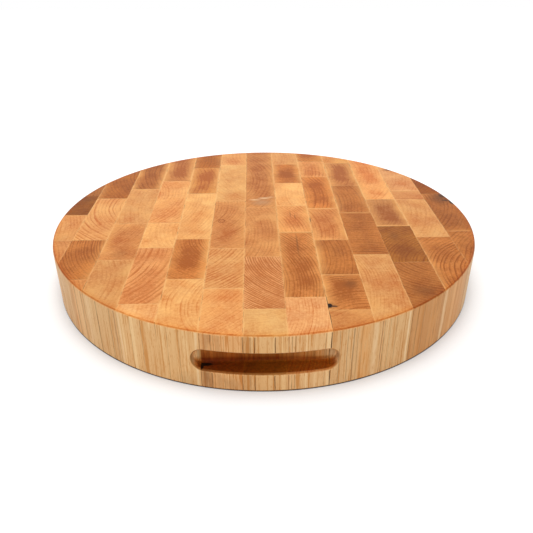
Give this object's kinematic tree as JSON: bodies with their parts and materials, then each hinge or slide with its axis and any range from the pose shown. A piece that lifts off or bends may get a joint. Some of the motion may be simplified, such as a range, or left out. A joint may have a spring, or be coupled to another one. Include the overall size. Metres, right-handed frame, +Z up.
{
  "type": "round chopping block",
  "caption": "Round end-grain maple chopping block, glued up from upright blocks in rows, with an eased rim and finger grips routed into its side.",
  "frame": {"origin": "centre of the underside", "axes": "+Z up through the thickness; the rows of blocks run along Y, and the front finger grip faces -Y"},
  "size_m": [0.4572, 0.4572, 0.0571],
  "materials": {
    "pale_maple": "oiled, satin",
    "honey_maple": "oiled, satin",
    "amber_maple": "oiled, satin",
    "tan_maple": "oiled, satin",
    "brown_maple": "oiled, satin",
    "dark_maple": "oiled, satin"
  },
  "bodies": {
    "root": {"row_01_block_1": "amber_maple", "row_01_block_2": "honey_maple", "row_01_block_3": "dark_maple", "row_01_block_4": "brown_maple", "row_02_block_1": "amber_maple", "row_02_block_2": "brown_maple", "row_02_block_3": "honey_maple", "row_02_block_4": "brown_maple", "row_03_block_1": "honey_maple", "row_03_block_2": "amber_maple", "row_03_block_3": "honey_maple", "row_03_block_4": "brown_maple", "row_04_block_1": "pale_maple", "row_04_block_2": "amber_maple", "row_04_block_3": "pale_maple", "row_04_block_4": "honey_maple", "row_04_block_5": "tan_maple", "row_05_block_1": "pale_maple", "row_05_block_2": "brown_maple", "row_05_block_3": "pale_maple", "row_05_block_4": "amber_maple", "row_05_block_5": "brown_maple", "row_06_block_1": "honey_maple", "row_06_block_2": "honey_maple", "row_06_block_3": "amber_maple", "row_06_block_4": "pale_maple", "row_06_block_5": "honey_maple", "row_07_block_1": "pale_maple", "row_07_block_2": "tan_maple", "row_07_block_3": "amber_maple", "row_07_block_4": "tan_maple", "row_08_block_1": "honey_maple", "row_08_block_2": "brown_maple", "row_08_block_3": "amber_maple", "row_08_block_4": "pale_maple", "row_08_block_5": "brown_maple", "row_08_block_6": "honey_maple", "row_09_block_1": "amber_maple", "row_09_block_2": "brown_maple", "row_09_block_3": "brown_maple", "row_09_block_4": "amber_maple", "row_09_block_5": "brown_maple", "row_09_block_6": "amber_maple", "row_09_block_7": "tan_maple", "row_10_block_1": "honey_maple", "row_10_block_2": "brown_maple", "row_10_block_3": "brown_maple", "row_10_block_4": "tan_maple", "row_10_block_5": "honey_maple", "row_11_block_1": "brown_maple", "row_11_block_2": "dark_maple", "row_11_block_3": "tan_maple", "row_11_block_4": "honey_maple", "row_12_block_1": "brown_maple", "row_12_block_2": "honey_maple", "row_12_block_3": "honey_maple", "row_12_block_4": "honey_maple", "row_13_block_1": "brown_maple", "row_13_block_2": "brown_maple", "row_13_block_3": "dark_maple"}
  },
  "joints": []
}
